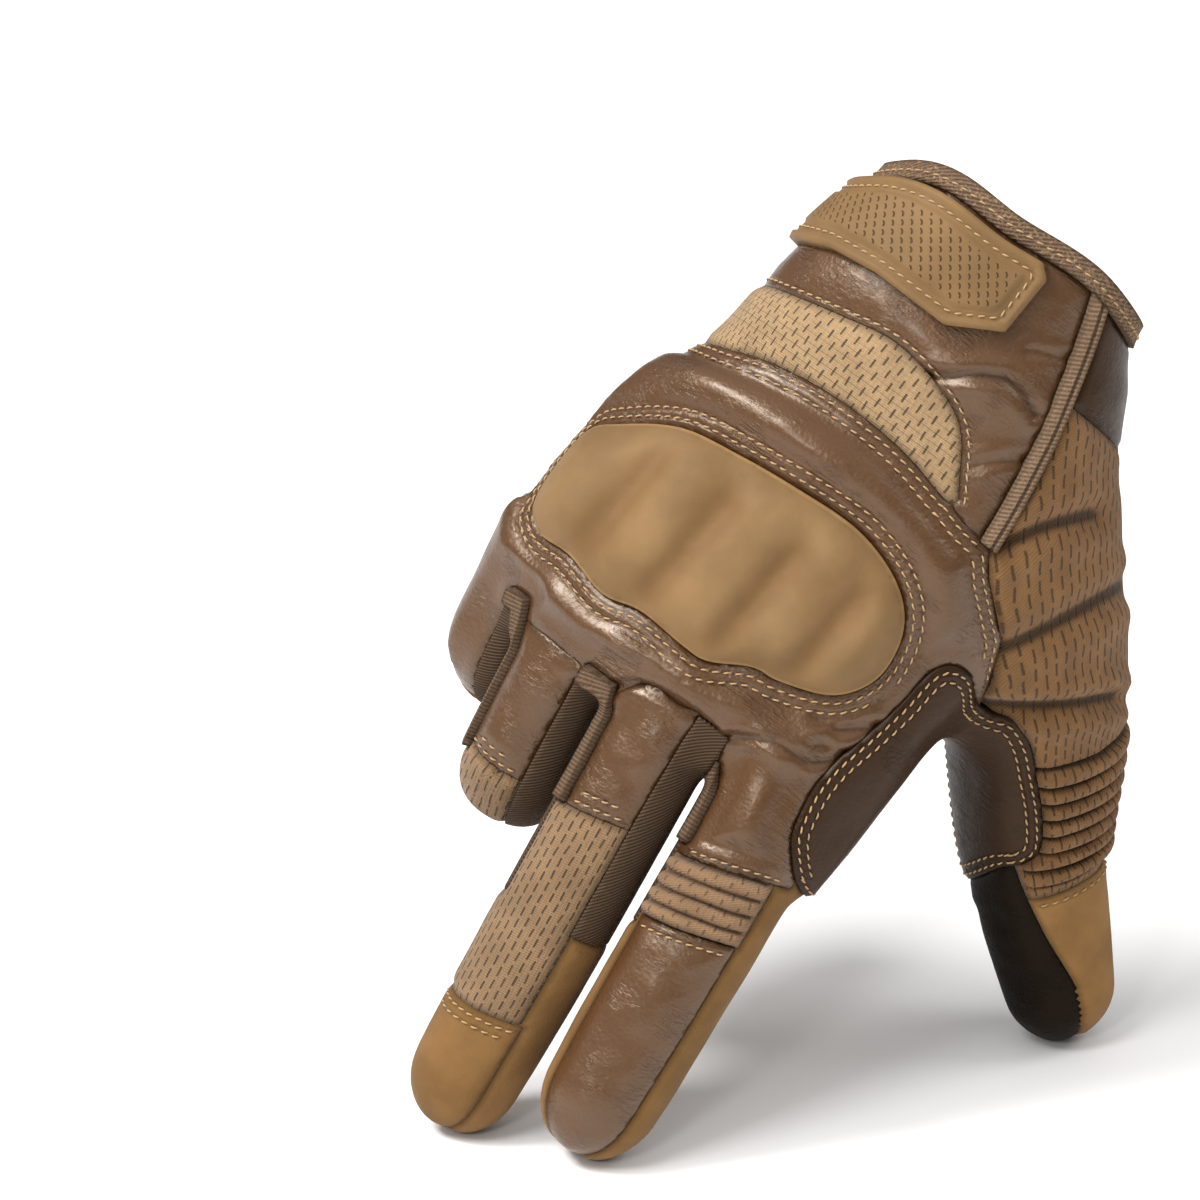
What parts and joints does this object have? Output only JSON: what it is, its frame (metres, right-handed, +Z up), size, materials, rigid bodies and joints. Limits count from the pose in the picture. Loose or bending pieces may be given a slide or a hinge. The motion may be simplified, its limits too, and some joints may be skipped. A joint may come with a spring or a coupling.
{
  "type": "tactical glove",
  "caption": "Full-finger tactical glove for the right hand, shown worn with the fingers curled: padded leather back, hard knuckle guard, knit stretch zones, suede palm and a strapped cuff.",
  "frame": {"origin": "centre of the wrist opening, at the cuff's rim", "axes": "+Z up, along the picture's height, with the fingers hanging down and the cuff at the top; +Y away from the viewer, towards the palm; +X to the viewer's right, the thumb's side"},
  "size_m": [0.1465, 0.0976, 0.1947],
  "materials": {
    "leather": "semi-gloss grained brown leather",
    "dark_leather": "satin dark-brown leather",
    "suede": "matte tan suede",
    "guard": "matte tan hard shell",
    "rubber": "matte tan moulded rubber",
    "knit": "matte light-tan stretch knit",
    "twill": "matte gray-brown twill",
    "binding": "matte dark-brown ribbed knit"
  },
  "bodies": {
    "root": {"back_leather": "leather", "cuff_binding": "binding", "cuff_leather": "leather", "cuff_underside": "leather", "flap_binding": "binding", "index_front": "suede", "index_ribs": "knit", "index_tip": "leather", "inner_cuff": "leather", "knuckle_guard": "guard", "little_front": "suede", "little_knit": "knit", "little_ring_fourchette": "twill", "little_ring_piping": "twill", "little_tip": "suede", "middle_back": "leather", "middle_front": "suede", "middle_index_fourchette": "twill", "middle_index_piping": "twill", "middle_knit": "knit", "middle_tip": "suede", "palm": "suede", "ring_back": "leather", "ring_front": "suede", "ring_knit": "knit", "ring_middle_fourchette": "twill", "ring_middle_piping": "twill", "ring_tip": "suede", "strap_pad": "rubber", "thumb_knit": "knit", "thumb_palm": "dark_leather", "thumb_tip": "suede", "web_patch": "leather", "wrist_knit": "knit"}
  },
  "joints": []
}
